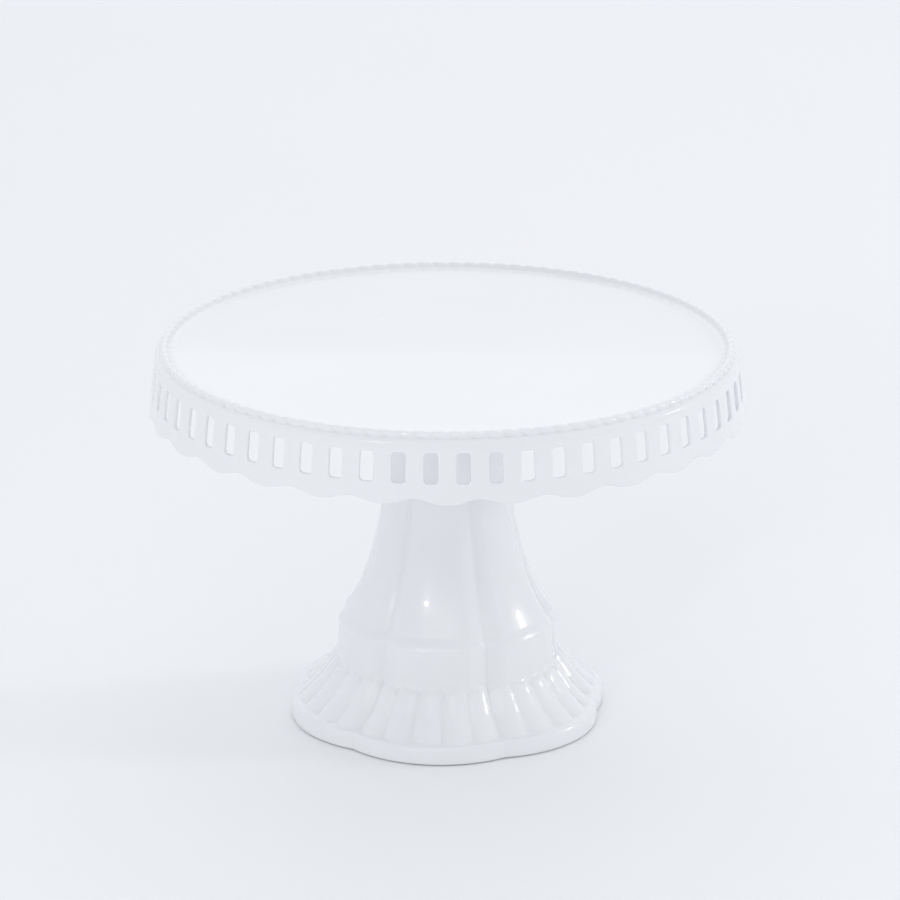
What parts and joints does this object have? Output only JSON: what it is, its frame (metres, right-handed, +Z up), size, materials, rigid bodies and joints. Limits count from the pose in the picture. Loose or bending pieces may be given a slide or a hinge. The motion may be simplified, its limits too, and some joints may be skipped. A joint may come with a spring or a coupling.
{
  "type": "pedestal cake stand",
  "caption": "Round pedestal cake stand: flat plate with a rope-edged rim and a slotted, scalloped ribbon skirt, screwed to a lobed, pleated hollow foot.",
  "frame": {"origin": "centre of the foot, on the surface the stand rests on", "axes": "+Z up along the axis of the plate and the pedestal; front is -Y, where a scallop of the skirt is at its lowest"},
  "size_m": [0.3054, 0.3054, 0.2],
  "materials": {
    "white_plastic": "glossy white moulded plastic with a soft moulded unevenness",
    "knob_plastic": "satin white moulded plastic",
    "zinc_steel": "zinc-plated steel",
    "brass": "turned brass",
    "gasket_rubber": "matt black rubber sheet",
    "pad_rubber": "matt translucent-white soft rubber"
  },
  "bodies": {
    "stand": {"pedestal": "white_plastic", "foot_pad_1": "pad_rubber", "foot_pad_2": "pad_rubber", "foot_pad_3": "pad_rubber", "foot_pad_4": "pad_rubber", "foot_pad_5": "pad_rubber", "foot_pad_6": "pad_rubber", "rubber_gasket": "gasket_rubber"},
    "plate": {"plate": "white_plastic", "threaded_insert": "brass"},
    "washer": {"steel_washer": "zinc_steel"},
    "screw": {"clamp_screw": "zinc_steel", "screw_knob": "knob_plastic"}
  },
  "joints": [
    {"name": "plate_lift", "type": "slide", "parent": "stand", "child": "plate", "axis": [0, 0, 1], "range_m": [0, 0.08]},
    {"name": "washer_drop", "type": "slide", "parent": "stand", "child": "washer", "axis": [0, 0, -1], "range_m": [0, 0.0121]},
    {"name": "screw_turn", "type": "hinge", "parent": "washer", "child": "screw", "pos_m": [0, 0, 0.171], "axis": [0, 0, -1], "range_deg": [0, 4320]}
  ],
  "couplings": [
    {"joint": "washer_drop", "follows": "screw_turn", "m_per_rad": 0.00015915}
  ]
}
